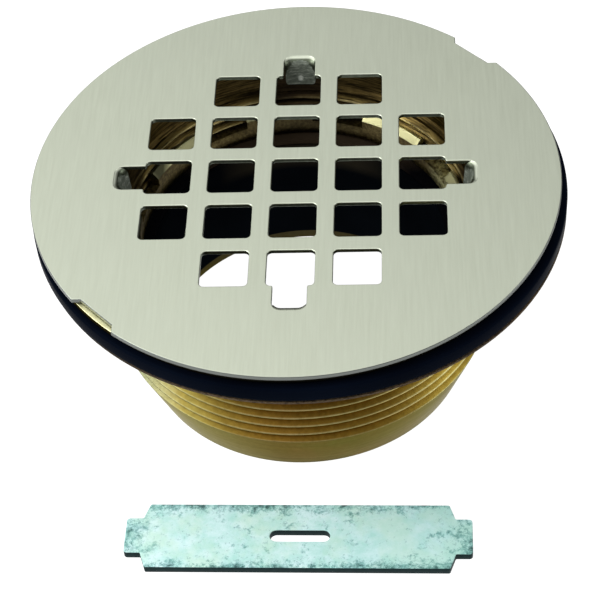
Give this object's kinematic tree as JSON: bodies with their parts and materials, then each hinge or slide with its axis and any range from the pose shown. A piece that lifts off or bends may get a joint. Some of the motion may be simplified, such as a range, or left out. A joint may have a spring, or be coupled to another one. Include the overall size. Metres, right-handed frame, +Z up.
{
  "type": "floor drain grate",
  "caption": "Round brass compression floor drain with a snap-in square-hole strainer grate, sealing washers, inner gasket and nut, and a loose flat tightening key.",
  "frame": {"origin": "on the surface that the set stands on, under the centre of the bounding box; the drain's axis is parallel to Z at x = 0, y = +4.4 mm", "axes": "+Z up out of the drain, towards the strainer's face; -Y towards the loose key; +X along the key"},
  "size_m": [0.1094, 0.1182, 0.05],
  "materials": {
    "strainer_steel": "brushed front to back, with bright hole edges",
    "body_brass": "cast brass, turned on the flange, threads and skirt",
    "flange_rubber": "smooth black rubber",
    "washer_fibre": "grey-brown fibre with a slightly ragged edge",
    "nut_brass": "cast brass with machined top faces",
    "slip_plastic": "smooth black plastic",
    "gasket_rubber": "smooth black rubber",
    "key_steel": "zinc plated, mottled, with darker cut edges"
  },
  "bodies": {
    "root": {"drain_body": "body_brass", "compression_gasket": "gasket_rubber"},
    "strainer": {"strainer": "strainer_steel"},
    "washers": {"flange_gasket": "flange_rubber", "friction_washer": "washer_fibre"},
    "slip": {"slip_ring": "slip_plastic"},
    "nut": {"compression_nut": "nut_brass"},
    "key": {"tightening_key": "key_steel"}
  },
  "joints": [
    {"name": "strainer_lift", "type": "slide", "parent": "root", "child": "strainer", "axis": [0, 0, 1], "range_m": [0, 0.06]},
    {"name": "washer_slide", "type": "slide", "parent": "root", "child": "washers", "axis": [0, 0, -1], "range_m": [0, 0.04]},
    {"name": "nut_advance", "type": "slide", "parent": "root", "child": "slip", "axis": [0, 0, -1], "range_m": [0, 0.0039], "deforming": ["compression_gasket"]},
    {"name": "nut_turn", "type": "hinge", "parent": "slip", "child": "nut", "pos_m": [0, 0.0044, 0.0347], "axis": [0, 0, -1], "range_deg": [0, 540]},
    {"name": "key_slide", "type": "slide", "parent": "root", "child": "key", "axis": [0, -1, 0], "range_m": [0, 0.06]}
  ],
  "couplings": [
    {"joint": "nut_advance", "follows": "nut_turn", "m_per_rad": 0.00040425}
  ]
}
